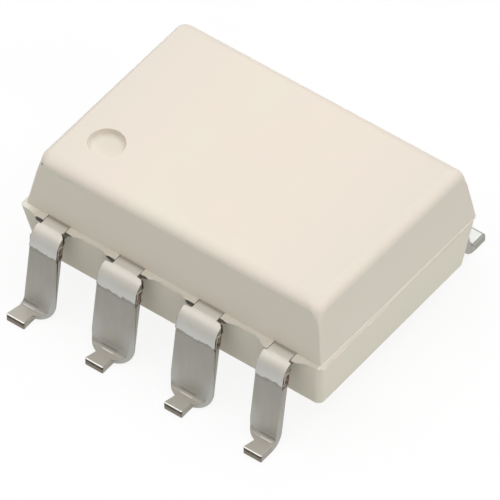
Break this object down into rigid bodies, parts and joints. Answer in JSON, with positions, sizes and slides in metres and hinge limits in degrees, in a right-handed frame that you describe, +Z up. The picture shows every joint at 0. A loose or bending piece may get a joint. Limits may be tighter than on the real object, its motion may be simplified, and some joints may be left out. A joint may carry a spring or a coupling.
{
  "type": "optocoupler",
  "caption": "White moulded optocoupler with rows of bent gull-wing leads: a light-emitting chip drives a light-detecting chip through a clear dome inside.",
  "frame": {"origin": "on the surface that the feet stand on, under the middle of the body", "axes": "+X along the rows of leads, from lead 1 towards lead 4; +Y from the front row (1 to 4) to the rear row (5 to 8); +Z up, out of the top face with the dimple"},
  "size_m": [0.0096, 0.0096, 0.0045],
  "materials": {
    "white_epoxy": "satin, cream-white",
    "tin_plate": "satin tin over copper",
    "led_crystal": "polished crystal",
    "silicon": "polished silicon",
    "silver_paste": "matt, silver-filled",
    "gold_wire": "drawn gold",
    "clear_silicone": "clear soft gel"
  },
  "bodies": {
    "root": {"package_body": "white_epoxy", "lead_1_unused": "tin_plate", "lead_2_anode": "tin_plate", "lead_3_cathode": "tin_plate", "lead_4_unused": "tin_plate", "lead_5_ground": "tin_plate", "lead_6_output": "tin_plate", "lead_7_enable": "tin_plate", "lead_8_supply": "tin_plate", "led_chip": "led_crystal", "led_die_attach": "silver_paste", "led_wire": "gold_wire", "detector_chip": "silicon", "detector_die_attach": "silver_paste", "ground_wire": "gold_wire", "output_wire": "gold_wire", "enable_wire": "gold_wire", "supply_wire": "gold_wire", "light_guide": "clear_silicone"}
  },
  "joints": []
}
